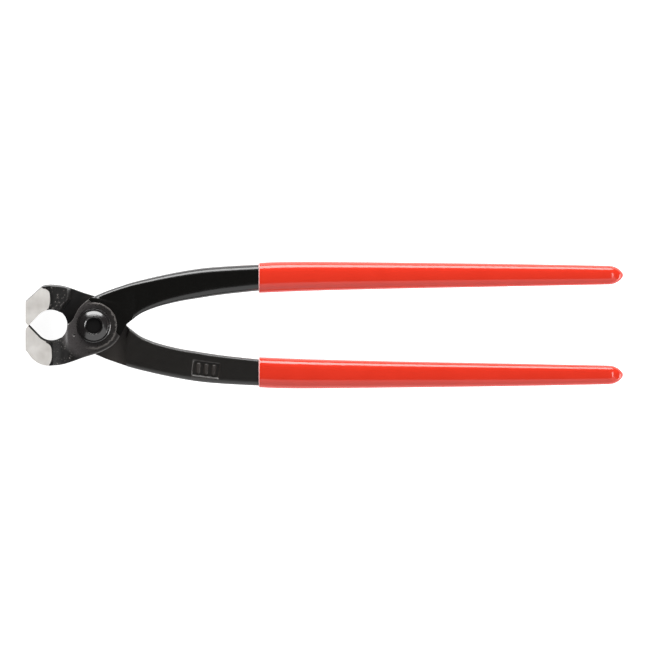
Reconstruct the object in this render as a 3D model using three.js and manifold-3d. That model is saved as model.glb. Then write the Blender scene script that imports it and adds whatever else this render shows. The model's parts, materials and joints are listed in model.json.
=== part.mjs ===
// Tile nippers: two identical forged levers, lapped over each other and joined by one rivet, with dipped grips.
// Each lever runs from a jaw, round the joint, to the handle on the other side of the tool.
// The part lies flat: +X runs from the jaws to the handles, +Y across them, +Z along the rivet.
// Levers are drawn about the rivet's axis at the middle of the tool's thickness, in millimetres.
// The exported group then moves them, so that the origin is under the middle of the tool's box.

import * as THREE from "three";
import { mergeVertices } from "three/addons/utils/BufferGeometryUtils.js";
import Module from "manifold-3d";

const wasm = await Module();
wasm.setup();

// ---- Driving dimensions ----

const TOTAL_LENGTH = 250;
const HEAD_REACH = 28.5; // rivet axis to the flat front of the jaws
const HEAD_WIDTH = 24; // over the ground sides of the jaws, along the rivet
const HEAD_HALF_HEIGHT = 16.7;
const GROUND_LENGTH = 11; // of the ground side, back from the front of the jaws
const GAP = 0.3; // between pieces that touch on the real tool

const EDGE_REACH = 27.2; // rivet axis to the cutting edges
const FRONT_BEVEL = 1.2; // height of the bevel between the front and the edge
const WINDOW_RADIUS = 6.8;
const WINDOW_REACH = 17.9; // rivet axis to the middle of the round window behind the edges

const JOINT_HALF = 6.6; // from the middle of the tool to the outer face of either lever at the joint
const BOSS_RADIUS = 9.8; // of the raised round face about the rivet
const BOSS_TURN = 40; // degrees from +X to the arm side of the boss, where the arm starts lower
const LAP_RADIUS = 15.4; // clearance for the other lever, cut into the back of the jaw
const LAP_JAW = 9.6; // rivet axis to the straight end of the lap on the jaw side
const LAP_ARM = 13.6; // and on the arm side

const ARM_THICKNESS = 9.8;
const GRIP_START = 69; // rivet axis to the mouth of the grip
const GRIP_END = TOTAL_LENGTH - HEAD_REACH;
const GRIP_MOUTH_THICKNESS = 11.8;
const GRIP_TIP_THICKNESS = 8;
const GRIP_WALL = 0.85;
const TIP_LENGTH = 6.5; // of the rounded end of the grip
const TIP_WALL = 2; // of grip between that end and the steel
const BLUNTNESS = 0.98; // of the end's curve: 1 is a whole half ellipse
const ARM_POWER = 6; // how square each section is: 2 is an ellipse
const INNER_POWER = 3.4;
const OUTER_POWER = 2.8;

const SHANK_RADIUS = 4.5;
const WASHER_RADIUS = 7.1;
const WASHER_THICKNESS = 0.9;
const SPOTFACE_DEPTH = 0.5;
const RIVET_HEAD_RADIUS = 6.3;
const RIVET_HEAD_HEIGHT = 2.2;
const DIMPLE_RADIUS = 3.9;
const DIMPLE_DEPTH = 1.3;

const MARK_REACH = 47; // rivet axis to the middle of the size mark on the lower arm, along the tool
const MARK_OFFSET = -18.3; // and across it
const MARK_TURN = -7; // degrees, to lie along the arm
const MARK_LENGTH = 11.4;
const MARK_HEIGHT = 6.8;
const MARK_DEPTH = 0.6;
const MARK_BARS = 3;
const MARK_BAR_WIDTH = 1.5;

// Edges of the upper arm: distance from the rivet, then outer and inner edge above the tool's centre line.
const ARM_STATIONS = [
  [16, 17.86, 2.35],
  [18.5, 18.5, 4.1],
  [22, 19.35, 5.95],
  [27.8, 20.7, 8.0],
  [36, 22.35, 9.95],
  [44.5, 23.7, 11.35],
  [54, 24.55, 12.75],
  [GRIP_START - 1, 25.3, 14.3],
];
const GRIP_STATIONS = [
  [GRIP_START, 26.2, 13.35],
  [78, 26.6, 13.75],
  [95, 26.65, 14.35],
  [128, 26.3, 15.15],
  [162, 25.9, 15.8],
  [190, 25.45, 16.35],
  [GRIP_END - TIP_LENGTH, 24.95, 16.85],
];

// ---- Geometry helpers ----

// A closed three.js geometry as a solid that can be cut and joined.
function solid(geometry) {
  const bare = geometry.index ? geometry.toNonIndexed() : geometry.clone();
  bare.deleteAttribute("normal");
  bare.deleteAttribute("uv");
  const merged = mergeVertices(bare, 1e-4);
  return new wasm.Manifold(
    new wasm.Mesh({
      numProp: 3,
      vertProperties: new Float32Array(merged.attributes.position.array),
      triVerts: new Uint32Array(merged.index.array),
    }),
  );
}

function geometryOf(made) {
  const mesh = made.getMesh();
  return new THREE.BufferGeometry()
    .setAttribute("position", new THREE.BufferAttribute(mesh.vertProperties, 3))
    .setIndex(new THREE.BufferAttribute(mesh.triVerts, 1))
    .toNonIndexed();
}

// A plan outline made solid from one height to another.
function slab(shape, low, high) {
  const geometry = new THREE.ExtrudeGeometry(shape, {
    depth: high - low,
    bevelEnabled: false,
    curveSegments: 6,
  });
  return solid(geometry.translate(0, 0, low));
}

// A side outline, drawn in X and Z, made solid across the tool.
function sideSlab(points, halfWidth) {
  const shape = new THREE.Shape(points.map(([x, z]) => new THREE.Vector2(x, -z)));
  const geometry = new THREE.ExtrudeGeometry(shape, { depth: 2 * halfWidth, bevelEnabled: false });
  return solid(geometry.translate(0, 0, -halfWidth).rotateX(-Math.PI / 2));
}

function disc(radius, low, high) {
  const geometry = new THREE.CylinderGeometry(radius, radius, high - low, 40);
  return solid(geometry.rotateX(Math.PI / 2).translate(0, 0, (low + high) / 2));
}

// A turned piece about Z, from a profile of [radius, height] points that starts and ends on the axis.
function turned(profile, segments = 40) {
  const points = profile.map(([r, z]) => new THREE.Vector2(r, z));
  return solid(new THREE.LatheGeometry(points, segments).rotateX(Math.PI / 2));
}

// A bar along X through sections { x, y, width, thickness, power }. Power 2 is an ellipse, and more is boxier.
function bar(sections, around = 20) {
  const steps = sections.length - 1;
  const geometry = new THREE.CylinderGeometry(1, 1, steps, around, steps);
  const at = geometry.attributes.position;
  for (let i = 0; i < at.count; i += 1) {
    const { x, y, width, thickness, power } = sections[Math.round(at.getY(i) + steps / 2)];
    const across = at.getX(i);
    const up = -at.getZ(i);
    const onRim = Math.hypot(across, up) > 0.5;
    const reach = onRim ? (Math.abs(across) ** power + Math.abs(up) ** power) ** (-1 / power) : 1;
    at.setXYZ(i, x, y + (across * reach * width) / 2, (up * reach * thickness) / 2);
  }
  return solid(geometry);
}

// Sections between the stations, along smooth curves, inset all round.
function sectionsThrough(stations, { thicknessAt, inset = 0, power, count = 12 }) {
  const outer = new THREE.SplineCurve(stations.map(([x, y]) => new THREE.Vector2(x, y)));
  const inner = new THREE.SplineCurve(stations.map(([x, , y]) => new THREE.Vector2(x, y)));
  return Array.from({ length: count }, (_, i) => {
    const o = outer.getPoint(i / (count - 1));
    const n = inner.getPoint(i / (count - 1));
    return {
      x: (o.x + n.x) / 2,
      y: (o.y + n.y) / 2,
      width: o.y - n.y - 2 * inset,
      thickness: thicknessAt((o.x + n.x) / 2) - 2 * inset,
      power,
    };
  });
}

// ---- The lever ----

// The front lever in plan as far as the start of its arm: lower jaw, joint plate and root of the upper arm.
function leverPlan() {
  const shape = new THREE.Shape();
  const toTangent = Math.acos(WINDOW_RADIUS / (EDGE_REACH - WINDOW_REACH));
  const [root] = ARM_STATIONS;
  shape.moveTo(-EDGE_REACH, -GAP / 2);
  shape.lineTo(-HEAD_REACH, -GAP / 2 - FRONT_BEVEL);
  shape.lineTo(-HEAD_REACH, -9.9);
  shape.bezierCurveTo(-HEAD_REACH, -11.8, -24, -16.4, -18.5, -HEAD_HALF_HEIGHT);
  shape.splineThru([
    new THREE.Vector2(-13.6, -16.4),
    new THREE.Vector2(-9.2, -15.2),
    new THREE.Vector2(-4.2, -13.45),
    new THREE.Vector2(1, -11.9),
    new THREE.Vector2(5.2, -10.2),
    new THREE.Vector2(8.6, -7.8),
    new THREE.Vector2(11, -4.2),
    new THREE.Vector2(13.6, 0),
    new THREE.Vector2(root[0], root[2]),
  ]);
  shape.lineTo(root[0], root[1]);
  shape.splineThru([
    new THREE.Vector2(11, 16.34),
    new THREE.Vector2(4.7, 14.06),
    new THREE.Vector2(0, 12.1),
    new THREE.Vector2(-2.9, 10.4),
    new THREE.Vector2(-5.3, 8.2),
    new THREE.Vector2(-7.1, 5.8),
    new THREE.Vector2(-9, 2.1),
    new THREE.Vector2(-WINDOW_REACH + WINDOW_RADIUS, 0),
  ]);
  shape.absarc(-WINDOW_REACH, 0, WINDOW_RADIUS, 0, Math.PI + toTangent, true);
  return shape;
}

// The lever seen from the side. The jaw is full width to the end of its ground sides, then narrows to the joint.
function leverSide() {
  const half = HEAD_WIDTH / 2;
  const ground = -HEAD_REACH + GROUND_LENGTH;
  return [
    [-HEAD_REACH - 1, half],
    [-HEAD_REACH - 1, -half],
    [ground, -half],
    [ground + 1.5, -half + 1.4],
    [ground + 4, -half + 3],
    [ground + 8.5, -half + 4],
    [ground + 8.5, -ARM_THICKNESS / 2],
    [ARM_STATIONS[0][0] + 1, -ARM_THICKNESS / 2],
    [ARM_STATIONS[0][0] + 1, JOINT_HALF],
    [ground + 8.5, JOINT_HALF],
    [ground + 5.5, JOINT_HALF + 0.7],
    [ground + 2.8, JOINT_HALF + 2.4],
    [ground + 1, half - 0.8],
    [ground, half],
  ];
}

// Clearance for the other lever, behind the joint plate.
function lapSpace() {
  const below = -HEAD_WIDTH;
  const between = sideSlab(
    [[-LAP_JAW, below], [LAP_ARM, below], [LAP_ARM, GAP / 2], [-LAP_JAW, GAP / 2]],
    2 * HEAD_HALF_HEIGHT,
  );
  return disc(LAP_RADIUS, below, GAP / 2).add(between);
}

// What is taken off the front of the arm's root, so that the boss stands above the arm.
function bossStep() {
  const reach = 2 * HEAD_REACH;
  const start = 3;
  const corners = [[start, -reach], [reach, -reach], [reach, reach], [start, reach]];
  const shape = new THREE.Shape(corners.map(([x, y]) => new THREE.Vector2(x, y)));
  const beyond = slab(shape, ARM_THICKNESS / 2, HEAD_WIDTH).rotate([0, 0, BOSS_TURN]);
  return beyond.subtract(disc(BOSS_RADIUS, 0, 2 * HEAD_WIDTH));
}

function gripThickness(x) {
  const along = (x - GRIP_START) / (GRIP_END - GRIP_START);
  return THREE.MathUtils.lerp(GRIP_MOUTH_THICKNESS, GRIP_TIP_THICKNESS, along);
}

// The bare arm, and the tang inside the grip, as one bar.
function arm() {
  const bare = sectionsThrough(ARM_STATIONS, { thicknessAt: () => ARM_THICKNESS, power: ARM_POWER });
  const tang = gripSections(GRIP_WALL + GAP, INNER_POWER);
  return bar([...bare, ...endedAt(tang, GRIP_START - GAP, GRIP_END - TIP_LENGTH - TIP_WALL)]);
}

function leverSolid() {
  const block = slab(leverPlan(), -HEAD_WIDTH, HEAD_WIDTH);
  const forged = block
    .intersect(sideSlab(leverSide(), 2 * HEAD_HALF_HEIGHT))
    .subtract(bossStep())
    .subtract(lapSpace());
  const top = JOINT_HALF - SPOTFACE_DEPTH;
  return forged
    .add(arm())
    .subtract(disc(WASHER_RADIUS + GAP, top, HEAD_WIDTH))
    .subtract(disc(SHANK_RADIUS + GAP, -HEAD_WIDTH, HEAD_WIDTH));
}

// A sunk panel with plain raised bars on it, in place of the forged size number.
function roundedPanel(length, height, corner) {
  const right = length / 2;
  const top = height / 2;
  const shape = new THREE.Shape();
  shape.absarc(right - corner, top - corner, corner, 0, Math.PI / 2);
  shape.absarc(-right + corner, top - corner, corner, Math.PI / 2, Math.PI);
  shape.absarc(-right + corner, -top + corner, corner, Math.PI, 1.5 * Math.PI);
  shape.absarc(right - corner, -top + corner, corner, 1.5 * Math.PI, 2 * Math.PI);
  return shape;
}

function sizeMark() {
  const floor = ARM_THICKNESS / 2 - MARK_DEPTH;
  const panel = slab(roundedPanel(MARK_LENGTH, MARK_HEIGHT, 1), floor, HEAD_WIDTH);
  const pitch = MARK_LENGTH / (MARK_BARS + 1);
  const bars = Array.from({ length: MARK_BARS }, (_, i) => {
    const raised = slab(roundedPanel(MARK_BAR_WIDTH, MARK_HEIGHT - 2, 0.7), floor - 1, floor + MARK_DEPTH - 0.1);
    return raised.translate([pitch * (i + 1) - MARK_LENGTH / 2, 0, 0]);
  });
  const place = (made) => made.rotate([0, 0, MARK_TURN]).translate([MARK_REACH, MARK_OFFSET, 0]);
  return { panel: place(panel), bars: bars.map(place) };
}

function markedLever(plain) {
  const { panel, bars } = sizeMark();
  return bars.reduce((made, raised) => made.add(raised), plain.subtract(panel));
}

// ---- The grip ----

function gripSections(inset, power) {
  return sectionsThrough(GRIP_STATIONS, { thicknessAt: gripThickness, inset, power });
}

// The same sections, with the first and the last one moved along.
function endedAt(sections, start, end) {
  const middle = sections.slice(1, -1);
  return [{ ...sections[0], x: start }, ...middle, { ...sections.at(-1), x: end }];
}

// The rounded end of the grip, past its last station.
function tipSections() {
  const [x, outer, inner] = GRIP_STATIONS.at(-1);
  const steps = [0.3, 0.53, 0.71, 0.84, 0.93, 1];
  return steps.map((along) => {
    const round = Math.sqrt(1 - (BLUNTNESS * along) ** 2);
    const at = x + along * (GRIP_END - x);
    return {
      x: at,
      y: (outer + inner) / 2,
      width: (outer - inner) * round,
      thickness: gripThickness(at) * round,
      power: OUTER_POWER,
    };
  });
}

function gripSolid() {
  const outside = bar([...gripSections(0, OUTER_POWER), ...tipSections()]);
  const cavityEnd = GRIP_END - TIP_LENGTH - TIP_WALL + GAP;
  return outside.subtract(bar(endedAt(gripSections(GRIP_WALL, INNER_POWER), GRIP_START - 1, cavityEnd)));
}

// ---- The joint ----

function rivetSolid() {
  const seat = JOINT_HALF - SPOTFACE_DEPTH + WASHER_THICKNESS + 2 * GAP;
  const crown = seat + RIVET_HEAD_HEIGHT;
  return turned([
    [0, -crown],
    [1.6, -crown + 0.08],
    [3.2, -crown + 0.35],
    [4.7, -crown + 0.85],
    [5.8, -crown + 1.45],
    [RIVET_HEAD_RADIUS, -crown + 1.95],
    [RIVET_HEAD_RADIUS, -seat],
    [SHANK_RADIUS, -seat],
    [SHANK_RADIUS, seat],
    [RIVET_HEAD_RADIUS, seat],
    [RIVET_HEAD_RADIUS, crown - 1.8],
    [5.8, crown - 1.15],
    [4.8, crown - 0.4],
    [DIMPLE_RADIUS, crown],
    [DIMPLE_RADIUS - 0.7, crown - DIMPLE_DEPTH],
    [0, crown - DIMPLE_DEPTH],
  ]);
}

function washerSolid() {
  const low = JOINT_HALF - SPOTFACE_DEPTH + GAP;
  const high = low + WASHER_THICKNESS;
  return disc(WASHER_RADIUS, low, high).subtract(disc(SHANK_RADIUS + GAP, 0, HEAD_WIDTH));
}

// ---- Assembly ----

const blackSteel = new THREE.MeshStandardMaterial({ color: 0x1c1b19, roughness: 0.42, metalness: 0.6 });
const redVinyl = new THREE.MeshStandardMaterial({ color: 0xe63a26, roughness: 0.22, metalness: 0 });

const nippers = new THREE.Group();
nippers.position.set(HEAD_REACH - TOTAL_LENGTH / 2, 0, HEAD_WIDTH / 2);

function place(name, made, material) {
  const mesh = new THREE.Mesh(geometryOf(made), material);
  mesh.name = name;
  nippers.add(mesh);
}

// The rear half is the front half turned over about the tool's long axis.
const turnedOver = (made) => made.rotate([180, 0, 0]);
const lever = leverSolid();
const grip = gripSolid();
const washer = washerSolid();

place("front_lever", lever, blackSteel);
place("rear_lever", markedLever(turnedOver(lever)), blackSteel);
place("upper_grip", grip, redVinyl);
place("lower_grip", turnedOver(grip), redVinyl);
place("pivot_rivet", rivetSolid(), blackSteel);
place("front_washer", washer, blackSteel);
place("rear_washer", turnedOver(washer), blackSteel);

export default nippers;
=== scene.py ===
# %% [markdown]
# # End-cutting tile nippers
# Two forged levers lie across each other on one rivet, and their long handles are dipped in red vinyl. The
# two levers are the same forging: the rear one is the front one turned over about the long axis. So the
# lever is modelled once, as a smith makes it: first a rough, rounded forging, then clean machined cuts.

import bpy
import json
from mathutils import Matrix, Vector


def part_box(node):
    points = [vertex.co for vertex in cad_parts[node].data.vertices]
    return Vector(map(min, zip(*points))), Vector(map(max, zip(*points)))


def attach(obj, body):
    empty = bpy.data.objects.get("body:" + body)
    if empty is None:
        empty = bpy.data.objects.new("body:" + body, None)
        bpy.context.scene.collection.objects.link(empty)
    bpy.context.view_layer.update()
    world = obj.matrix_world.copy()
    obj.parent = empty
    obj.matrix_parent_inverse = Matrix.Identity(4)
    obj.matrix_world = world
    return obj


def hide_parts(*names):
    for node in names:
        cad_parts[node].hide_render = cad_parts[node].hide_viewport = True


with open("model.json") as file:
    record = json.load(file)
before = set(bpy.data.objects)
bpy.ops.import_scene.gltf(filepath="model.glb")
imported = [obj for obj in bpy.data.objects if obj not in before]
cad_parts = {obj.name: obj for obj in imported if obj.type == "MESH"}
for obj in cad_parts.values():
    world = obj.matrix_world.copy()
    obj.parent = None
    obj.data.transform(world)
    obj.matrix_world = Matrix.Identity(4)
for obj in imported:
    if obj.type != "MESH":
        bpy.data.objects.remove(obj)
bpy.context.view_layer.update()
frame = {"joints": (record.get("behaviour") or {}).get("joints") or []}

# %% [markdown]
# ## Where things are
# The rivet's axis is the natural place to measure a pair of nippers from, and the joint in the frame says
# where it is. Every shape below is drawn in millimetres from the point halfway along that axis.

# %% Measures
import json
import math

import bmesh
import bpy
from mathutils import Vector

MM = 0.001
PIVOT = Vector(frame["joints"][0]["pos_m"])


def at(x, y, z=0.0):
    """A point given in millimetres from the middle of the rivet."""
    return PIVOT + Vector((x, y, z)) * MM


lever_low, lever_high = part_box("front_lever")
FRONT_X = (lever_low.x - PIVOT.x) / MM
HALF_HEAD = (lever_high.z - PIVOT.z) / MM
print(f"front of the jaws {FRONT_X:.1f} mm from the rivet, head {2 * HALF_HEAD:.1f} mm wide")

# %% [markdown]
# ## Working on one piece at a time
# An operator acts on everything that is selected, so each step first makes one piece the only selected one.
# Modifiers are applied at once, because the next step needs the real mesh.


# %% Helpers for selecting and applying
def only(piece):
    """Makes a piece the only selected and the active one."""
    if bpy.context.mode != "OBJECT":
        bpy.ops.object.mode_set(mode="OBJECT")
    bpy.ops.object.select_all(action="DESELECT")
    piece.select_set(True)
    bpy.context.view_layer.objects.active = piece


def start_piece(name):
    """Names the primitive that was just added, fixes its place in its mesh, and opens it for editing."""
    piece = bpy.context.object
    piece.name = name
    piece.data.name = name
    bpy.ops.object.transform_apply(location=True, rotation=True, scale=True)
    bpy.ops.object.mode_set(mode="EDIT")
    bpy.ops.mesh.select_mode(type="VERT")
    bpy.ops.mesh.select_all(action="SELECT")
    return piece


def close_piece(piece):
    """Points all faces outwards and leaves edit mode."""
    bpy.ops.mesh.select_all(action="SELECT")
    bpy.ops.mesh.normals_make_consistent(inside=False)
    bpy.ops.object.mode_set(mode="OBJECT")
    return piece


def finish_with(piece, kind, **settings):
    """Adds one modifier with its settings and applies it."""
    only(piece)
    modifier = piece.modifiers.new(kind.title(), kind)
    for name, value in settings.items():
        setattr(modifier, name, value)
    bpy.ops.object.modifier_apply(modifier=modifier.name)
    return piece


def combine(piece, tool, operation):
    """Cuts a tool from a piece, joins it on, or keeps what they share. The tool is used up."""
    finish_with(piece, "BOOLEAN", object=tool, operation=operation, solver="EXACT")
    tool_mesh = tool.data
    bpy.data.objects.remove(tool)
    bpy.data.meshes.remove(tool_mesh)
    return piece


# %% [markdown]
# ## Drawing an outline
# A flat forging is easiest to draw as one outline that is then given its thickness. By hand that is a single
# point, extruded again and again round the outline, filled, and extruded once more.
# Round stretches come from an arc, and the long flowing ones from a smooth curve through a few points.


# %% Outline helpers
def arc(x, y, radius, start, end, steps):
    """Points along an arc, with its angles in degrees."""
    turns = [math.radians(start + (end - start) * i / steps) for i in range(steps + 1)]
    return [(x + radius * math.cos(turn), y + radius * math.sin(turn)) for turn in turns]


def flow(points, steps=4):
    """A smooth curve through points of any number of values: a Catmull-Rom spline."""
    first = [2 * a - b for a, b in zip(points[0], points[1])]
    last = [2 * a - b for a, b in zip(points[-1], points[-2])]
    knots = [first, *points, last]
    curve = []
    for before, here, there, after in zip(knots, knots[1:], knots[2:], knots[3:]):
        for i in range(steps):
            t = i / steps
            curve.append(tuple(
                0.5 * (
                    2 * b + (c - a) * t + (2 * a - 5 * b + 4 * c - d) * t * t
                    + (3 * b - a - 3 * c + d) * t ** 3
                )
                for a, b, c, d in zip(before, here, there, after)
            ))
    return [*curve, tuple(points[-1])]


def traced_face(name, points):
    """A filled outline of points in metres, still open for editing."""
    bpy.ops.object.select_all(action="DESELECT")
    bpy.ops.mesh.primitive_plane_add(size=MM, location=points[0])
    piece = start_piece(name)
    bpy.ops.mesh.merge(type="CENTER")
    for here, there in zip(points, points[1:]):
        bpy.ops.mesh.extrude_vertices_move(TRANSFORM_OT_translate={"value": there - here})
    bpy.ops.mesh.select_all(action="SELECT")
    bpy.ops.mesh.edge_face_add()
    return piece


def traced(name, points, sweep):
    """A solid from an outline of points, swept along a vector. All are in metres."""
    piece = traced_face(name, points)
    bpy.ops.mesh.extrude_region_move(TRANSFORM_OT_translate={"value": sweep})
    return close_piece(piece)


def plan_solid(name, outline, low, high, lean=0):
    """A solid from an outline seen from above. It can lean along X as it rises."""
    return traced(name, [at(x, y, low) for x, y in outline], Vector((lean, 0, high - low)) * MM)


def side_solid(name, outline, half):
    """A solid from an outline seen from the side, in x and z."""
    return traced(name, [at(x, -half, z) for x, z in outline], Vector((0, 2 * half * MM, 0)))


# %% [markdown]
# ## A bar with a changing section
# The arm and the grip are both long bars that bend and taper. A flat section is extruded from station to
# station, and scaled at each to the width and thickness there.


# %% Bar helper
def drawn_bar(name, stations, section):
    """A bar along X through stations of (x, outer edge, inner edge, thickness). Its section fits +-1."""
    x, outer, inner, thickness = stations[0]
    middle = (outer + inner) / 2
    first = [at(x, middle + y * (outer - inner) / 2, z * thickness / 2) for y, z in section]
    piece = traced_face(name, first)
    for here, there in zip(stations, stations[1:]):
        middle = at(here[0], (here[1] + here[2]) / 2)
        target = at(there[0], (there[1] + there[2]) / 2)
        grown = (1, (there[1] - there[2]) / (here[1] - here[2]), there[3] / here[3])
        bpy.ops.mesh.extrude_region_move(TRANSFORM_OT_translate={"value": target - middle})
        bpy.ops.transform.resize(value=grown, center_override=target)
    return close_piece(piece)


# %% [markdown]
# ## The forging
# Each lever starts as one drop forging: a thick jaw, a plate for the joint, and a long arm.
# Stock is left on the faces that are ground later.

# %% Sizes of the forging
STOCK = 0.6
GROUND_LENGTH = 11
JOINT_HALF = 6.6
ARM_HALF = 4.9
BOSS_RADIUS = 9.5
JAW_X = -18.5
JAW_Y = -6.7
JAW_RADIUS = 10
PLATE_START = -9
PLATE_END = 16
GRIP_START = 69
ARM_EDGES = [
    (0.5, 12.25, -5), (5, 14.17, -3.5), (10, 15.95, -1.5), (14.5, 17.4, 1.0), (18.5, 18.5, 4.1),
    (22, 19.35, 5.95), (27.8, 20.7, 8.0), (36, 22.35, 9.95), (44.5, 23.7, 11.35), (54, 24.55, 12.75),
    (68, 25.3, 14.25), (74, 25.4, 14.7),
]
PLATE_LOWER = [
    (-18.5, -16.7), (-13.6, -16.4), (-9.2, -15.2), (-4.2, -13.4), (1, -11.8), (5.2, -10.0), (8.6, -7.7),
    (11, -4.4), (13.6, 0.2), (16, 2.35),
]
PLATE_UPPER = [
    (16, 14.2), (11, 12.9), (6, 11.2), (2.5, 10.6), (-0.4, 11.7), (-2.9, 10.35), (-5.3, 8.25), (-7.1, 5.8),
    (-9, 2.1), (-10.8, 0.6),
]


# %% [markdown]
# The jaw and plate are one outline seen from above, kept only where it shares space with the outline seen
# from the side, as dies shape them from both ways. The arm is a drawn bar, joined to them next.

# %% The jaw and joint plate
def head_outline():
    """The lower jaw, joint plate and root of the arm, seen from above."""
    front = FRONT_X - STOCK
    corner = [(front, -9.5), *arc(JAW_X, JAW_Y, JAW_RADIUS, 207, 262, 7)]
    return [(front, STOCK), *corner, *flow(PLATE_LOWER), *flow(PLATE_UPPER)]


def head_profile():
    """The same, seen from the side: thick at the jaw, with a long fillet down to the joint."""
    front = FRONT_X - STOCK
    ground = FRONT_X + GROUND_LENGTH
    thick = HALF_HEAD + STOCK
    back = [(ground - 0.6, -thick), (ground + 0.4, -HALF_HEAD), (ground + 2, -11), (ground + 6, -9.6)]
    joint = [(PLATE_START, -8.6), (PLATE_START, -ARM_HALF), (PLATE_END, -ARM_HALF), (PLATE_END, JOINT_HALF)]
    fillet = [(-7, JOINT_HALF), (-10.5, 6.8), (-13, 7.8), (-15, 9.4), (-16.6, 11.2), (ground - 0.6, thick)]
    return [(front, thick), (front, -thick), *back, *joint, *flow(fillet)]


forging = plan_solid("front_lever_forging", head_outline(), -2 * HALF_HEAD, 2 * HALF_HEAD)
combine(forging, side_solid("profile", head_profile(), 40), "INTERSECT")
print("head forging:", len(forging.data.polygons), "faces")

# %% [markdown]
# The arm starts under the boss, so that its rounded outer edge runs on smoothly into the joint plate. The
# die rounds the arm's front face generously, and more so towards the grip. The back face, which was in the
# flat half of the die, has tighter edges, and that face is the one that shows on the other lever. A bevel
# takes its width from a weight on each edge, so one edge can be rounded more and more along its length.

# %% The arm
ARM_ROUNDING = [(1, 1, 1.6, 2.7), (1, -1, 0.8, 3.4), (-1, 1, 1.2, 1.8), (-1, -1, 0.6, 0.9)]
ROUNDING_FROM = 12
ROUNDING_TO = 46


def weigh_long_edges(piece, front, outward, root, end):
    """Weighs one of a bar's four long edges for a bevel that grows along it, from one radius to another."""
    mesh = bmesh.from_edit_mesh(piece.data)
    weights = mesh.edges.layers.float
    weight = weights.get("bevel_weight_edge") or weights.new("bevel_weight_edge")
    for edge in mesh.edges:
        faces_front = any(face.normal.z * front > 0.9 for face in edge.link_faces)
        faces_side = any(face.normal.y * outward > 0.5 for face in edge.link_faces)
        if faces_front and faces_side:
            x = ((edge.verts[0].co.x + edge.verts[1].co.x) / 2 - PIVOT.x) / MM
            share = min(max((x - ROUNDING_FROM) / (ROUNDING_TO - ROUNDING_FROM), 0), 1)
            edge[weight] = (root + (end - root) * share) / ARM_HALF
    bmesh.update_edit_mesh(piece.data)


arm_stations = [(x, outer, inner, 2 * ARM_HALF) for x, outer, inner in ARM_EDGES]
arm = drawn_bar("arm", flow(arm_stations), [(1, 1), (-1, 1), (-1, -1), (1, -1)])
bpy.ops.object.mode_set(mode="EDIT")
for front, outward, root, end in ARM_ROUNDING:
    weigh_long_edges(arm, front, outward, root, end)
finish_with(arm, "BEVEL", width=ARM_HALF * MM, limit_method="WEIGHT", segments=6, use_clamp_overlap=False)
combine(forging, arm, "UNION")
print("with its arm:", len(forging.data.polygons), "faces")

# %% [markdown]
# The other lever turns in the lap: the space behind the joint plate. Its wall is forged leaning back, so
# that its top edge shows as a rounded ridge beside the joint. Some stock is left on its floor.

# %% Forge the wall of the lap
LAP_RADIUS = 14.3
LAP_TOP_RADIUS = 15.9
LAP_JAW = 9.6
LAP_LEAN = 1.9
LAP_ARM = 13.6
LAP_GAP = 0.15


def round_cutter(name, radius, low, high, top_radius=None):
    """A round tool about the rivet, from one height to another."""
    bpy.ops.object.select_all(action="DESELECT")
    bpy.ops.mesh.primitive_cone_add(
        vertices=128, radius1=radius * MM, radius2=(radius if top_radius is None else top_radius) * MM,
        depth=(high - low) * MM, location=at(0, 0, (low + high) / 2),
    )
    start_piece(name)
    return close_piece(bpy.context.object)


def lap_cutter(high, lean, low_radius, arm_end):
    """The space of the lap, up to a height: round at the jaw, straight across the arm."""
    low = -HALF_HEAD - 1
    lap = round_cutter("lap", low_radius, low, high, LAP_RADIUS)
    across = [(-LAP_JAW, high), (-LAP_JAW - lean, low), (arm_end, low), (arm_end, high)]
    return combine(lap, side_solid("across", across, 30), "UNION")


combine(forging, lap_cutter(LAP_GAP - STOCK, LAP_LEAN, LAP_TOP_RADIUS, LAP_ARM - 3 * STOCK), "DIFFERENCE")

# %% [markdown]
# A forging has no sharp edge anywhere. Remeshing the solid into small even cells and smoothing them rounds
# every edge and fills every inside corner, as the flow of hot steel in a die does.

# %% Round the forging
CELL = 0.35
ROUNDING = 10
finish_with(forging, "REMESH", mode="VOXEL", voxel_size=CELL * MM, adaptivity=0)
finish_with(forging, "SMOOTH", factor=0.5, iterations=ROUNDING)
print("rounded forging:", len(forging.data.polygons), "faces")

# %% [markdown]
# ## Machining the lever
# After forging, the sides and the front of the jaw are ground flat, and the lap, the window, the cutting
# edge, and the rivet's hole are cut. These cuts come after the rounding, so their edges stay crisp. A flat
# ground face is a bisect of the whole mesh: everything beyond a plane is cleared, and the cut is filled.

# %% Grind the jaw
WINDOW_X = -17.9
WINDOW_RADIUS = 6.8
EDGE_X = -27.2
EDGE_GAP = 0.15
FRONT_BEVEL = 1.2


def ground_to(piece, point, outward):
    """Clears what lies beyond a plane and closes the cut."""
    only(piece)
    bpy.ops.object.mode_set(mode="EDIT")
    bpy.ops.mesh.select_all(action="SELECT")
    bpy.ops.mesh.bisect(
        plane_co=point, plane_no=outward, use_fill=True, clear_outer=True, threshold=1e-7,
    )
    bpy.ops.object.mode_set(mode="OBJECT")


ground_to(forging, at(0, 0, HALF_HEAD), (0, 0, 1))
ground_to(forging, at(0, 0, -HALF_HEAD), (0, 0, -1))
ground_to(forging, at(FRONT_X, 0), (-1, 0, 0))


# %% [markdown]
# The jaws close on a V-shaped mouth in front of a round window. One cutter makes the window, the inner face
# that runs from it to the cutting edge, and the small bevel in front of the edge.

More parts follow.
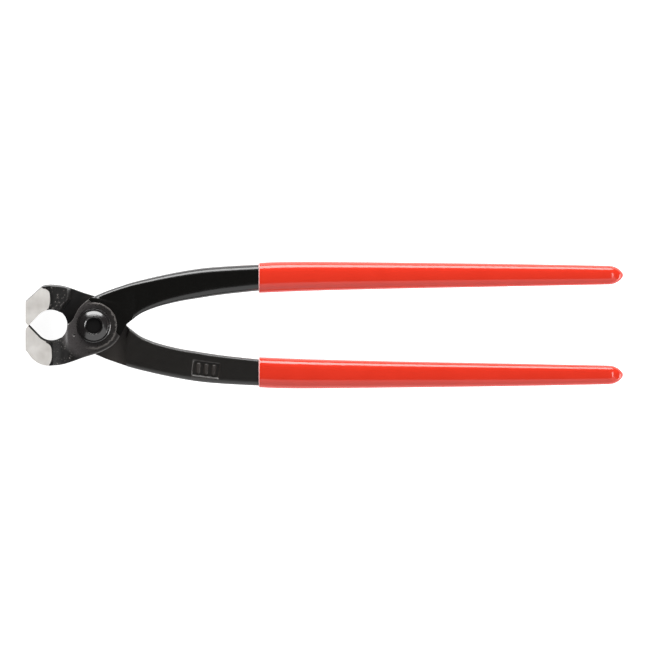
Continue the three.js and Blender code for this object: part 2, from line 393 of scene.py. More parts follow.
# %% Cut the window and the cutting edge
def window_outline():
    """The window, the V in front of it, and the space in front of the lower jaw's edge."""
    tangent = math.degrees(math.acos(WINDOW_RADIUS / (WINDOW_X - EDGE_X)))
    beyond = FRONT_X - 2
    drop = FRONT_BEVEL * (EDGE_X - beyond) / (EDGE_X - FRONT_X)
    hole = arc(WINDOW_X, 0, WINDOW_RADIUS, 180 + tangent, 540 - tangent, 72)
    return [(EDGE_X, -EDGE_GAP), *hole, (beyond, hole[-1][1]), (beyond, -EDGE_GAP - drop)]


combine(forging, plan_solid("window", window_outline(), -20, 20), "DIFFERENCE")

# %% [markdown]
# The ground flats end where the wheel left off, along a curved edge. Behind that edge the skin of the
# forging stays a little lower than the flat. The edge slants, so it shows from above as a thin dark line.

# %% Leave the forged skin below the ground flats
SKIN_DROP = 0.4
SKIN_RISE = 1.4
SKIN_LEAN = -1.2
FRONT_SKIN = [
    (-19.3, -5.4), (-19.9, -6.8), (-18.4, -7.9), (-17.7, -9.2), (-17.5, -11.2), (-17.5, -13.3),
    (-17.85, -14.8), (-18.5, -16.2), (-19.4, -18),
]
BACK_SKIN = [
    (-19.0, -5.4), (-19.5, -6.9), (-18.9, -7.4), (-18.4, -9.1), (-18.2, -11.1), (-18.4, -13.7),
    (-18.9, -14.7), (-19.9, -15.4), (-21.4, -15.9), (-22.6, -18),
]
for side, edge in ((1, FRONT_SKIN), (-1, BACK_SKIN)):
    set_back = -SKIN_LEAN * SKIN_DROP / SKIN_RISE
    skin = [*((x + set_back, y) for x, y in flow(edge)), (-5, -18), (-5, -5.4)]
    low = side * (HALF_HEAD - SKIN_DROP)
    combine(forging, plan_solid("skin", skin, low, low + side * SKIN_RISE, SKIN_LEAN), "DIFFERENCE")

# %% [markdown]
# The arm's face lies lower than the joint plate, so a round boss stands above it about the rivet. Beyond
# the boss and to the right of a slanting line, the plate is milled down to the arm's thickness. The boss's
# wall slopes a little, so that its edge shows from above.

# %% Mill the step round the boss
BOSS_TURN = math.radians(40)
BOSS_START = 5.4
BOSS_SLOPE = 0.5
STEP_GAP = 0.03


def turned_corner(along, across):
    """A point on a plan that is turned to face the arm."""
    return (
        along * math.cos(BOSS_TURN) - across * math.sin(BOSS_TURN),
        along * math.sin(BOSS_TURN) + across * math.cos(BOSS_TURN),
    )


beyond_boss = [(BOSS_START, -40), (40, -40), (40, 40), (BOSS_START, 40)]
step_corners = [turned_corner(*corner) for corner in beyond_boss]
step = plan_solid("step", step_corners, ARM_HALF + STEP_GAP, JOINT_HALF + STOCK)
boss = round_cutter("boss", BOSS_RADIUS + BOSS_SLOPE, ARM_HALF - 1, JOINT_HALF + 1, BOSS_RADIUS - BOSS_SLOPE)
combine(step, boss, "DIFFERENCE")
combine(forging, step, "DIFFERENCE")

# %% [markdown]
# The floor of the lap is milled flat, so that the two levers slide on each other without rocking.

# %% Mill the lap
combine(forging, lap_cutter(LAP_GAP, 0, LAP_RADIUS, LAP_ARM), "DIFFERENCE")

# %% [markdown]
# The rivet passes through the bore with a little room, and a washer lies in the round seat about it.

# %% Bore it for the rivet
WASHER_RADIUS = 7.1
SEAT = 6.1
SHANK_RADIUS = 4.5
FIT_GAP = 0.3
combine(forging, round_cutter("spotface", WASHER_RADIUS + FIT_GAP, SEAT, 20), "DIFFERENCE")
combine(forging, round_cutter("bore", SHANK_RADIUS + FIT_GAP, -20, 20), "DIFFERENCE")

# %% [markdown]
# A small pit beside the rivet is a centre-punch mark, such as an inspector leaves on a tested forging.

# %% Punch the inspector's mark
PUNCH_X = -8.2
PUNCH_Y = -3.9
PUNCH_RADIUS = 0.85
PUNCH_DEPTH = 1.3
bpy.ops.object.select_all(action="DESELECT")
bpy.ops.mesh.primitive_cone_add(
    vertices=24, radius1=0, radius2=2 * PUNCH_RADIUS * MM, depth=2 * PUNCH_DEPTH * MM,
    location=at(PUNCH_X, PUNCH_Y, JOINT_HALF),
)
combine(forging, bpy.context.object, "DIFFERENCE")
print("machined lever:", len(forging.data.polygons), "faces")

# %% [markdown]
# ## The tang
# The arm runs on inside the grip. Only its end face is extruded, since the grip hides the rest.

# %% Draw out the tang
GRIP_EDGES = [
    (69, 26.2, 13.35, 11.8), (78, 26.6, 13.75, 11.55), (95, 26.65, 14.35, 11.15), (128, 26.3, 15.15, 10.35),
    (162, 25.9, 15.8, 9.5), (190, 25.45, 16.35, 8.8), (215, 24.95, 16.85, 8.2),
]
TANG_WALL = 1.2


def selected_faces(piece, wanted):
    """Selects the faces whose middle and normal pass a test, in edit mode, and returns how many there are."""
    mesh = bmesh.from_edit_mesh(piece.data)
    mesh.select_mode = {"FACE"}
    chosen = 0
    for face in mesh.faces:
        pick = wanted(face.calc_center_median(), face.normal)
        face.select_set(pick)
        chosen += pick
    mesh.select_flush_mode()
    bmesh.update_edit_mesh(piece.data)
    return chosen


def lengthen_tang(piece):
    """Extrudes the end of the arm through the grip's stations, a little inside them."""
    end = at(ARM_EDGES[-1][0], 0).x
    ground_to(piece, Vector((end - 0.3 * MM, 0, 0)), (1, 0, 0))
    bpy.ops.object.mode_set(mode="EDIT")
    bpy.ops.mesh.select_mode(type="FACE")
    bpy.ops.mesh.select_all(action="DESELECT")
    selected_faces(piece, lambda middle, normal: normal.x > 0.99 and middle.x > end - 0.4 * MM)
    here = [*ARM_EDGES[-1], 2 * ARM_HALF]
    for x, outer, inner, thickness in flow(GRIP_EDGES)[4:-2]:
        there = [x, outer - TANG_WALL, inner + TANG_WALL, thickness - 2 * TANG_WALL]
        middle = at(here[0], (here[1] + here[2]) / 2)
        target = at(there[0], (there[1] + there[2]) / 2)
        grown = (1, (there[1] - there[2]) / (here[1] - here[2]), there[3] / here[3])
        bpy.ops.mesh.extrude_region_move(TRANSFORM_OT_translate={"value": target - middle})
        bpy.ops.transform.resize(value=grown, center_override=target)
        here = there
    bpy.ops.object.mode_set(mode="OBJECT")


lengthen_tang(forging)
print("lever with its tang, in mm:", [round(side / MM, 1) for side in forging.dimensions])

# %% [markdown]
# ## The rear lever
# Turning a copy of the forging half a turn about the tool's long axis gives the other lever.
# The copy has its own mesh, because a size mark is then sunk into its arm, and its jaw's corner is dressed.


# %% Copy and turn
def turned_copy(piece, name):
    """A copy of a piece with its own mesh, turned over about the tool's long axis."""
    only(piece)
    bpy.ops.object.duplicate(linked=False)
    copy = bpy.context.object
    copy.name = name
    copy.data.name = name
    bpy.ops.object.mode_set(mode="EDIT")
    bpy.ops.mesh.select_all(action="SELECT")
    bpy.ops.transform.rotate(value=math.pi, orient_axis="X", center_override=PIVOT)
    bpy.ops.object.mode_set(mode="OBJECT")
    return copy


front_lever = forging
rear_lever = turned_copy(front_lever, "rear_lever_forging")

# %% [markdown]
# The mark is a panel sunk into the arm by a stamp, with raised bars standing in for a size number.
# The stamp's sides lean, so the panel is traced, extruded and narrowed towards its floor.

# %% Stamp the size mark
MARK_X = 47
MARK_Y = -18.4
MARK_TURN = math.radians(-7)
MARK_LENGTH = 10.6
MARK_HEIGHT = 5.8
MARK_DEPTH = 0.6
MARK_SLOPE = 0.6
PANEL_CORNER = 0.5
BAR_COUNT = 3
BAR_WIDTH = 2.2
BAR_CORNER = 0.9
BAR_MARGIN = 0.4


def rounded_box(length, height, corner):
    """A rounded rectangle about a point on the mark, turned with the arm."""
    right = length / 2 - corner
    top = height / 2 - corner
    corners = [(right, top, 0), (-right, top, 90), (-right, -top, 180), (right, -top, 270)]
    return [point for x, y, start in corners for point in arc(x, y, corner, start, start + 90, 4)]


def on_mark(points, z, shift=0.0):
    """Places points on the mark."""
    cos, sin = math.cos(MARK_TURN), math.sin(MARK_TURN)
    shifted = [(x + shift, y) for x, y in points]
    return [at(MARK_X + x * cos - y * sin, MARK_Y + x * sin + y * cos, z) for x, y in shifted]


def leaning(name, length, height, corner, low, high, shift, spread):
    """A rounded block on the mark whose top is wider than its foot by a spread on each side."""
    foot = on_mark(rounded_box(length, height, corner), low, shift)
    block = traced(name, foot, Vector((0, 0, (high - low) * MM)))
    bpy.ops.object.mode_set(mode="EDIT")
    bpy.ops.mesh.select_mode(type="FACE")
    selected_faces(block, lambda middle, normal: normal.z > 0.99)
    centre = on_mark([(0, 0)], high, shift)[0]
    grown = (1 + 2 * spread / length, 1 + 2 * spread / height, 1)
    bpy.ops.transform.resize(value=grown, center_override=centre)
    bpy.ops.object.mode_set(mode="OBJECT")
    return block


floor_z = ARM_HALF - MARK_DEPTH
above = ARM_HALF + MARK_DEPTH
panel = leaning("panel", MARK_LENGTH, MARK_HEIGHT, PANEL_CORNER, floor_z, above, 0, 2 * MARK_SLOPE)
combine(rear_lever, panel, "DIFFERENCE")
for i in range(BAR_COUNT):
    shift = (i - (BAR_COUNT - 1) / 2) * MARK_LENGTH / (BAR_COUNT + 0.3)
    bar_size = (BAR_WIDTH, MARK_HEIGHT - 2 * BAR_MARGIN, BAR_CORNER)
    bar = leaning("bar", *bar_size, floor_z - 0.1, ARM_HALF - 0.05, shift, -MARK_SLOPE)
    combine(rear_lever, bar, "UNION")

# %% [markdown]
# The rear jaw's front corner was dressed on the wheel, so one slanting flat is cut across it.

# %% Dress the corner of its jaw
CORNER_X = -25.4
CORNER_Y = 12.85
CORNER_FACING = (-0.91, 1, 0)
ground_to(rear_lever, at(CORNER_X, CORNER_Y), CORNER_FACING)
print("rear lever:", len(rear_lever.data.polygons), "faces")

# %% [markdown]
# ## The grips
# The handles are dipped, so each grip is a skin of even thickness that follows the tang and ends in a soft
# point. The outside is drawn as a bar through its stations, then opened at the mouth and given its wall.
# The vinyl rounds the section off, so that no side is quite flat. The end closes in a blunt point.

# %% Draw the upper grip
GRIP_WALL = 0.85
GRIP_LIP = 0.45
GRIP_POWERS = (3.0, 2.8, 3.2, 3.0)
GRIP_TIP = [
    (216.2, 0.985), (217.2, 0.95), (218.1, 0.88), (218.9, 0.79), (219.6, 0.69), (220.3, 0.55), (220.9, 0.4),
    (221.4, 0.22), (221.65, 0.08),
]


def grip_section(steps=9):
    """A rounded section that bulges on all sides, with its own squareness in each quarter."""
    section = []
    for quarter, power in enumerate(GRIP_POWERS):
        for i in range(steps):
            turn = math.pi / 2 * (quarter + i / steps)
            y, z = math.cos(turn), math.sin(turn)
            section.append((
                math.copysign(abs(y) ** (2 / power), y),
                math.copysign(abs(z) ** (2 / power), z),
            ))
    return section


def tip_stations():
    """The grip's pointed end, as shares of its last full section."""
    outer, inner, thickness = GRIP_EDGES[-1][1:]
    middle, half = (outer + inner) / 2, (outer - inner) / 2
    return [(x, middle + share * half, middle - share * half, share * thickness) for x, share in GRIP_TIP]


upper_grip = drawn_bar("upper_grip_dip", [*flow(GRIP_EDGES, 3), *tip_stations()], grip_section())
mouth_x = at(GRIP_START, 0).x
bpy.ops.object.mode_set(mode="EDIT")
bpy.ops.mesh.select_mode(type="FACE")
selected_faces(upper_grip, lambda middle, normal: normal.x < -0.99 and middle.x < mouth_x + 0.1 * MM)
bpy.ops.mesh.delete(type="FACE")
bpy.ops.object.mode_set(mode="OBJECT")
finish_with(upper_grip, "SOLIDIFY", thickness=GRIP_WALL * MM, offset=-1, use_even_offset=True)

# %% [markdown]
# Trimmed vinyl keeps a soft lip, so only the loops round the open end are bevelled. The lower grip is the
# upper one turned over.

# %% Round the lip at the mouth
only(upper_grip)
bpy.ops.object.mode_set(mode="EDIT")
bpy.ops.mesh.select_mode(type="FACE")
selected_faces(upper_grip, lambda middle, normal: normal.x < -0.9 and middle.x < mouth_x + 0.1 * MM)
bpy.ops.mesh.region_to_loop()
bpy.ops.mesh.bevel(offset=GRIP_LIP * MM, segments=3, affect="EDGES")
bpy.ops.object.mode_set(mode="OBJECT")
finish_with(upper_grip, "SUBSURF", levels=2, render_levels=2)
lower_grip = turned_copy(upper_grip, "lower_grip_dip")
print("grip, in mm:", [round(side / MM, 1) for side in upper_grip.dimensions])

# %% [markdown]
# ## The rivet and its washers
# Both are turned shapes. Half of the section is traced beside the axis and spun round it, and the seam and
# the poles are merged.


# %% Spin a section
def spun(name, section, steps=96):
    """A turned piece about the rivet's axis, from a section of (radius, height) points in millimetres."""
    bpy.ops.object.select_all(action="DESELECT")
    bpy.ops.mesh.primitive_plane_add(size=MM, location=at(section[0][0], 0, section[0][1]))
    piece = start_piece(name)
    bpy.ops.mesh.merge(type="CENTER")
    for here, there in zip(section, section[1:]):
        step = Vector((there[0] - here[0], 0, there[1] - here[1])) * MM
        bpy.ops.mesh.extrude_vertices_move(TRANSFORM_OT_translate={"value": step})
    bpy.ops.mesh.select_all(action="SELECT")
    bpy.ops.mesh.spin(steps=steps, angle=math.tau, center=PIVOT, axis=(0, 0, 1))
    bpy.ops.mesh.select_all(action="SELECT")
    bpy.ops.mesh.remove_doubles(threshold=0.002 * MM)
    return close_piece(piece)


# %% [markdown]
# The front head is a low dome with a flat hole left by the riveting punch, whose rim is bevelled inwards.
# The rear head is a plain dome.

# %% Turn the rivet
HEAD_RADIUS = 6.3
HEAD_SEAT = 7.3
HEAD_HEIGHT = 2.3
DIMPLE_RADIUS = 3.4
DIMPLE_DEPTH = 1.5
RIM_WIDTH = 0.45
RIM_DROP = 0.42
crown = HEAD_SEAT + HEAD_HEIGHT
front_head = [
    (0, crown - DIMPLE_DEPTH), (1.6, crown - DIMPLE_DEPTH), (DIMPLE_RADIUS - 0.12, crown - DIMPLE_DEPTH),
    (DIMPLE_RADIUS, crown - RIM_DROP), (DIMPLE_RADIUS + RIM_WIDTH, crown),
    *flow([
        (DIMPLE_RADIUS + RIM_WIDTH + 0.05, crown), (4.4, crown - 0.22), (5.0, crown - 0.5),
        (5.6, crown - 0.83), (6.1, crown - 1.15), (HEAD_RADIUS, crown - 1.5),
    ]),
]
rear_head = flow([
    (HEAD_RADIUS, -HEAD_SEAT - 0.35), (5.9, -crown + 1.25), (5, -crown + 0.75), (3.6, -crown + 0.3),
    (1.8, -crown + 0.07), (0, -crown),
])
shank = [
    (HEAD_RADIUS, HEAD_SEAT), (SHANK_RADIUS, HEAD_SEAT),
    (SHANK_RADIUS, -HEAD_SEAT), (HEAD_RADIUS, -HEAD_SEAT),
]
rivet = spun("pivot_rivet_turned", [*front_head, *shank, *rear_head])

# %% [markdown]
# A washer with a broken outer edge lies under each head. The rear one is the front one turned over.

# %% Turn the washers
WASHER_CHAMFER = 0.25
WASHER_BORE = SHANK_RADIUS + FIT_GAP
washer_low = SEAT + 0.15
washer_high = HEAD_SEAT - 0.02
washer_section = [
    (WASHER_BORE, washer_low), (WASHER_RADIUS, washer_low), (WASHER_RADIUS, washer_high - WASHER_CHAMFER),
    (WASHER_RADIUS - WASHER_CHAMFER, washer_high), (WASHER_BORE, washer_high), (WASHER_BORE, washer_low),
]
front_washer = spun("front_washer_turned", washer_section)
rear_washer = turned_copy(front_washer, "rear_washer_turned")
print("rivet:", len(rivet.data.polygons), "faces, washer:", len(front_washer.data.polygons), "faces")

# %% [markdown]
# ## Joining the frame
# Each new piece stands for its plain node and rides on that node's body.

# %% Ride and replace
PIECES = [
    (front_lever, "front_lever", "front", "black_steel"),
    (rear_lever, "rear_lever", "rear", "black_steel"),
    (upper_grip, "upper_grip", "front", "red_vinyl"),
    (lower_grip, "lower_grip", "rear", "red_vinyl"),
    (rivet, "pivot_rivet", "front", "black_rivet"),
    (front_washer, "front_washer", "front", "black_rivet"),
    (rear_washer, "rear_washer", "front", "black_rivet"),
]
for piece, node, body, slot in PIECES:
    only(piece)
    bpy.ops.object.shade_smooth_by_angle(angle=math.radians(32))
    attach(piece, body)
    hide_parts(node)

# %% [markdown]
# ## Materials
# Each finish is a small tree of nodes on Object coordinates, so its pattern keeps its real size in
# millimetres. Colours are written as on screen, and one function turns them to the linear values that the
# shader needs. Four short functions add the nodes that every finish uses: a noise, a sum, a ramp and a
# blend.


# %% Node and colour helpers
def linear(hex_colour):
    """A linear colour from an sRGB hex value."""
    shares = [int(hex_colour[i:i + 2], 16) / 255 for i in (1, 3, 5)]
    return [*(s / 12.92 if s <= 0.04045 else ((s + 0.055) / 1.055) ** 2.4 for s in shares), 1]


def add_node(tree, kind, inputs=None, **settings):
    """Adds a node, sets its settings, and sets or links its inputs."""
    made = tree.nodes.new(kind)
    for name, value in settings.items():
        setattr(made, name, value)
    for socket, value in (inputs or {}).items():
        if isinstance(value, bpy.types.NodeSocket):
            tree.links.new(value, made.inputs[socket])
        else:
            made.inputs[socket].default_value = value
    return made


def noise(tree, place, size, detail, roughness=0.5):
    """A cloudy pattern from 0 to 1, with one lump to so many millimetres."""
    inputs = {"Vector": place, "Scale": 1 / (size * MM), "Detail": detail, "Roughness": roughness}
    return add_node(tree, "ShaderNodeTexNoise", inputs).outputs["Fac"]


def worked_out(tree, operation, *values, clamp=False):
    """The result of one sum on numbers and outputs of other nodes."""
    inputs = dict(enumerate(values))
    return add_node(tree, "ShaderNodeMath", inputs, operation=operation, use_clamp=clamp).outputs["Value"]


def ramp(tree, value, start, end, low=0, high=1):
    """Runs from low to high as a value runs from start to end, and stays level beyond them."""
    inputs = {"Value": value, "From Min": start, "From Max": end, "To Min": low, "To Max": high}
    return add_node(tree, "ShaderNodeMapRange", inputs).outputs["Result"]


def blend(tree, share, first, second):
    """A colour between two, each of them a hex value or the output of another node."""
    first, second = (linear(tone) if isinstance(tone, str) else tone for tone in (first, second))
    inputs = {"Factor": share, "A": first, "B": second}
    return add_node(tree, "ShaderNodeMix", inputs, data_type="RGBA").outputs["Result"]


def bump(tree, height, strength, depth, **over):
    """Roughens the surface by a pattern, to a depth in millimetres, over another bump if it is given."""
    inputs = {"Height": height, "Strength": strength, "Distance": depth * MM, **over}
    return add_node(tree, "ShaderNodeBump", inputs).outputs["Normal"]


def new_material(name):
    """An empty material: its tree and the Object coordinates that its patterns read."""
    material = bpy.data.materials.new(name)
    material.use_nodes = True
    material.node_tree.nodes.clear()
    coordinates = add_node(material.node_tree, "ShaderNodeTexCoord")
    return material, material.node_tree, coordinates.outputs["Object"]


def finish_material(tree, **inputs):
    """The shader and the output of a material. An underscore in a name stands for a space."""
    named = {name.replace("_", " "): value for name, value in inputs.items()}
    shader = add_node(tree, "ShaderNodeBsdfPrincipled", named)
    add_node(tree, "ShaderNodeOutputMaterial", {"Surface": shader.outputs["BSDF"]})


# %% [markdown]
# Blackened forged steel: hot-dipped magnetite over the skin that the die left. The oxide is nearly black,
# with a satin gloss, and the skin is uneven: long shallow waves, and a fine grain of scale that scatters
# the light. The lever whose die side shows is smoother and blacker than the other one, so the finish takes
# its tones and its dullness as settings.

# %% Blackened forged steel
OXIDE_IOR = 1.6
SCALE_GRAIN = 0.45  # real scale is finer, drawn this coarse so that it shows
SKIN_WAVE = 3.5


def blackened_forging(name, dark, light, glossy, dull, relief):
    """The finish of a forged skin, between two tones and two degrees of dullness."""
    material, tree, place = new_material(name)
    wave = noise(tree, place, SKIN_WAVE, 3)
    grain = noise(tree, place, SCALE_GRAIN, 4)
    swell = bump(tree, wave, 0.2, 0.3)
    finish_material(
        tree, Base_Color=blend(tree, wave, dark, light), Roughness=ramp(tree, grain, 0, 1, glossy, dull),
        IOR=OXIDE_IOR, Normal=bump(tree, grain, relief, 0.06, Normal=swell),
    )
    return material


# %% [markdown]
# Scaled steel: the head of the forging is thick, so it cooled slowly and grew a coarser scale before it was
# blackened. On the jaws, which lie furthest from the rivet, the scale is blackest and dullest, and light
# specks are painted on it as glints off the rough scale. On the joint plate it is greyer and even.
# Two edges are painted lighter as highlights, where their rounding would catch the light: the rim all round
# the plate, which a height picks out, and the rough edge of the boss on the side of the arm, which the
# distance from the rivet picks out.

# %% Blackened scaled steel
SCALE_LUMP = 2.2
SCALE_FLECK = 0.8
COARSE_FROM = 12.8
COARSE_TO = 15.5
# How wide and how strong the painted highlights on the two edges are.
BOSS_HIGHLIGHT_WIDTH = 0.6
BOSS_HIGHLIGHT_WANDER = 3
RIM_HIGHLIGHT_DROP = 0.35
PAINTED_HIGHLIGHT_SHARE = 0.7


def from_rivet(tree, place):
    """The distance from the rivet's axis, and the place from it along the three axes, in metres."""
    offset = add_node(tree, "ShaderNodeVectorMath", {0: place, 1: PIVOT}, operation="SUBTRACT")
    apart = add_node(tree, "ShaderNodeSeparateXYZ", {"Vector": offset.outputs["Vector"]})
    across = {0: offset.outputs["Vector"], 1: (1, 1, 0)}
    flat = add_node(tree, "ShaderNodeVectorMath", across, operation="MULTIPLY")
    distance = add_node(tree, "ShaderNodeVectorMath", {0: flat.outputs["Vector"]}, operation="LENGTH")
    return distance.outputs["Value"], apart.outputs


def painted_boss_highlight(tree, distance, along, lumps):
    """How much painted highlight lies on the edge of the boss. The lumps make the edge wander in and out."""
    centred = worked_out(tree, "SUBTRACT", lumps, 0.5)
    wander = worked_out(tree, "MULTIPLY_ADD", centred, BOSS_HIGHLIGHT_WANDER * MM, distance)
    off_edge = worked_out(tree, "ABSOLUTE", worked_out(tree, "SUBTRACT", wander, BOSS_RADIUS * MM))
    edge = ramp(tree, off_edge, 0, BOSS_HIGHLIGHT_WIDTH * MM, 1, 0)
    return worked_out(tree, "MULTIPLY", edge, ramp(tree, along, -4 * MM, 0))


def painted_rim_highlight(tree, height, coarse):
    """How much painted highlight lies on the rim of the joint plate, just below its faces. The coarse scale
    has no rim.
    """
    rim_height = (JOINT_HALF - RIM_HIGHLIGHT_DROP) * MM
    off_rim = worked_out(tree, "SUBTRACT", worked_out(tree, "ABSOLUTE", height), rim_height)
    rim = ramp(tree, worked_out(tree, "ABSOLUTE", off_rim), 0, RIM_HIGHLIGHT_DROP * MM, 1, 0)
    return worked_out(tree, "SUBTRACT", rim, coarse, clamp=True)


def blackened_scale():
    """The finish of the head: grey on the joint plate, black with painted glints on the jaws, and painted
    highlights on two edges.
    """
    material, tree, place = new_material("blackened_scaled_steel")
    distance, offset = from_rivet(tree, place)
    lumps = noise(tree, place, SCALE_LUMP, 5, 0.65)
    flecks = noise(tree, place, SCALE_FLECK, 3)
    coarse = ramp(tree, distance, COARSE_FROM * MM, COARSE_TO * MM)
    patches = worked_out(tree, "MULTIPLY", coarse, ramp(tree, lumps, 0.44, 0.62))

    # Painted glints on the jaws, and painted highlights on the plate's rim and the boss's edge, all go
    # towards one light grey.
    painted_glints = worked_out(tree, "MULTIPLY", ramp(tree, flecks, 0.58, 0.7), patches)
    rim = painted_rim_highlight(tree, offset["Z"], coarse)
    painted_light = worked_out(tree, "MAXIMUM", rim, painted_boss_highlight(tree, distance, offset["X"], lumps))
    painted_highlight_share = worked_out(tree, "MULTIPLY_ADD", painted_light, PAINTED_HIGHLIGHT_SHARE, painted_glints, clamp=True)
    plate = blend(tree, ramp(tree, offset["X"], -10 * MM, 4 * MM), "#3E3B3B", "#211F1E")
    skin = blend(tree, coarse, plate, "#0B0A09")

    dullness = worked_out(tree, "MULTIPLY_ADD", coarse, 0.15, ramp(tree, lumps, 0, 1, 0.2, 0.36))
    relief = worked_out(tree, "MULTIPLY", flecks, patches)
    finish_material(
        tree, Base_Color=blend(tree, painted_highlight_share, skin, "#726E6B"), Roughness=dullness, IOR=OXIDE_IOR,
        Specular_IOR_Level=ramp(tree, coarse, 0, 1, 0.5, 0.2), Normal=bump(tree, relief, 0.5, 0.2),
    )
    return material


# %% [markdown]
# Blackened milled steel: the floor of the lap was milled before blackening, so it is flat and even. It is
# painted greyer towards the arm, as painted light where that part of the floor lies in shade.

# %% Blackened milled steel
def blackened_milling():
    """The finish of the floor of the lap."""
    material, tree, place = new_material("blackened_milled_steel")
    offset = from_rivet(tree, place)[1]
    cloud = noise(tree, place, 1.6, 4)
    # Painted light: the floor is made lighter towards the arm, where it lies in shade.
    painted_light = worked_out(tree, "MULTIPLY_ADD", cloud, 0.5, ramp(tree, offset["X"], -6 * MM, 6 * MM))
    share = worked_out(tree, "SUBTRACT", painted_light, 0.25, clamp=True)
    finish_material(
        tree, Base_Color=blend(tree, share, "#0A0909", "#393532"), Roughness=0.36, IOR=OXIDE_IOR,
        Normal=bump(tree, cloud, 0.3, 0.1),
    )
    return material


# %% [markdown]
# Blackened broached steel: the window and the mouth were cut by a broach. The torn faces hold a dull film of
# oxide, which hardly shines.

# %% Blackened broached steel
def blackened_broaching():
    """The finish of the walls of the window and the mouth."""
    material, tree, place = new_material("blackened_broached_steel")
    cloud = noise(tree, place, 1.2, 4)
    finish_material(
        tree, Base_Color=blend(tree, cloud, "#141210", "#2A2724"), Roughness=0.7, IOR=OXIDE_IOR,
        Specular_IOR_Level=0.02, Normal=bump(tree, cloud, 0.3, 0.1),
    )
    return material


# %% [markdown]
# Ground steel: the sides of the jaws are ground after blackening, so they are bright bare metal with fine
# parallel scratches from the wheel. Scratches this fine scatter the light almost evenly.

# %% Ground steel
GRIT_LINE = 0.12
SCRATCH_STRETCH = 0.03


def ground_steel():
    """The finish of the ground sides and front of the jaws."""
    material, tree, place = new_material("ground_bright_steel")
    stretch = add_node(tree, "ShaderNodeMapping", {"Vector": place, "Scale": (1, SCRATCH_STRETCH, 1)})
    lines = noise(tree, stretch.outputs["Vector"], GRIT_LINE, 3)
    burnish = ramp(tree, noise(tree, place, 6, 2), 0.3, 0.7)
    finish_material(
        tree, Base_Color=blend(tree, burnish, "#C8C4BF", "#E1DEDA"), Metallic=0.6,
        Roughness=ramp(tree, lines, 0, 1, 0.5, 0.66), Normal=bump(tree, lines, 0.15, 0.02),
    )
    return material


# %% [markdown]
# Blackened rivet steel: turned, so it is smoother and glossier than the forging, with a fine even grain.
# The middle of the head, inside the punch's hole, is rougher and is painted blacker as shade, which the
# distance from the axis picks out.

# %% Blackened rivet steel
def blackened_rivet():
    """The finish of the rivet and its washers."""
    material, tree, place = new_material("blackened_turned_steel")
    distance = from_rivet(tree, place)[0]
    recess_painted_dark = ramp(tree, distance, (DIMPLE_RADIUS + 0.02) * MM, (DIMPLE_RADIUS - 0.05) * MM)
    grain = noise(tree, place, 0.8, 4)
    dullness = worked_out(tree, "MULTIPLY_ADD", recess_painted_dark, 0.35, ramp(tree, grain, 0, 1, 0.14, 0.22))
    height = worked_out(tree, "MULTIPLY_ADD", grain, recess_painted_dark, grain)
    finish_material(
        # The recess is painted near black, as shade.
        tree, Base_Color=blend(tree, recess_painted_dark, "#1E1C1C", "#040303"), Roughness=dullness, IOR=1.7,
        Specular_IOR_Level=ramp(tree, recess_painted_dark, 0, 1, 0.5, 0.12), Normal=bump(tree, height, 0.1, 0.06),
    )
    return material


# %% [markdown]
# Dipped vinyl: soft PVC that ran smooth as it cooled. It is strongly coloured and glossy, with a very slight
# unevenness left by the dip that only shows where a highlight runs along the handle.

# %% Dipped red vinyl
VINYL_IOR = 1.53


def dipped_vinyl():
    """The finish of the grips."""
    material, tree, place = new_material("dipped_red_vinyl")
    cloud = noise(tree, place, 9, 2)
    finish_material(
        tree, Base_Color=blend(tree, cloud, "#CD2F1D", "#D73523"), Roughness=0.14, IOR=VINYL_IOR,
        Normal=bump(tree, cloud, 0.1, 0.1),
    )
    return material


# %% [markdown]
# The vinyl is trimmed at the mouth with a blade. The cut edge is matt, and painted pale pink as the highlight
# line that the lip catches.

# %% Trimmed vinyl
def painted_lip_highlight_vinyl():
    """The finish of the cut edge at the mouth of a grip, painted pale as a highlight."""
    material, tree, place = new_material("red_vinyl_painted_lip_highlight")
    # Pale pink painted on the cut edge stands for the highlight line along the lip.
    tone = blend(tree, noise(tree, place, 1, 2), "#F0A5A2", "#F8C4C2")
    finish_material(tree, Base_Color=tone, Roughness=0.5, IOR=VINYL_IOR)
    return material


# %% [markdown]
# Each finish is made once and shared. The front lever's skin is darker and smoother than the rear one's.

# %% Make the finishes
front_black = blackened_forging("blackened_forged_steel_smooth", "#030302", "#080705", 0.2, 0.28, 0.12)
rear_black = blackened_forging("blackened_forged_steel", "#090705", "#15120F", 0.28, 0.4, 0.4)
# The size mark's slopes and bars are painted lighter, as highlights.
mark_highlight_black = blackened_forging("blackened_steel_painted_mark_highlight", "#24211F", "#34302D", 0.3, 0.42, 0.3)
scaled_black = blackened_scale()
milled_black = blackened_milling()
broached_black = blackened_broaching()
bright = ground_steel()
turned_black = blackened_rivet()
vinyl = dipped_vinyl()
lip_highlight_vinyl = painted_lip_highlight_vinyl()
for piece in (rivet, front_washer, rear_washer):
    piece.data.materials.append(turned_black)


# %% [markdown]
# A lever has five finishes. Where each one goes follows from how it was made: the forged skin everywhere,
# coarse scale on the head, milled steel on the floor of the lap, broached steel in the window and the
# mouth, and bright steel where the wheel ground the jaw. The slopes and bars of the size mark are painted
# lighter as highlights, and the cut edge at the mouth of each grip is painted pale as its highlight line.


# %% Tests for the faces of a lever
LEVEL = 0.99  # a normal's upward share on a level face
UPRIGHT = 0.05  # and at most this on an upright one
SLACK = 0.05


def is_head(middle, normal):
    """Whether a face is on the jaw, or stands above the arm's face in the joint plate."""
    x, y, z = (middle - PIVOT) / MM
    return x < -LAP_JAW or (abs(z) > ARM_HALF + 0.15 and x < 30)


def is_lap(middle, normal):
    """Whether a face is on the milled floor of the lap."""
    return abs(middle.z - PIVOT.z) < (LAP_GAP + 0.02) * MM and abs(normal.z) > LEVEL


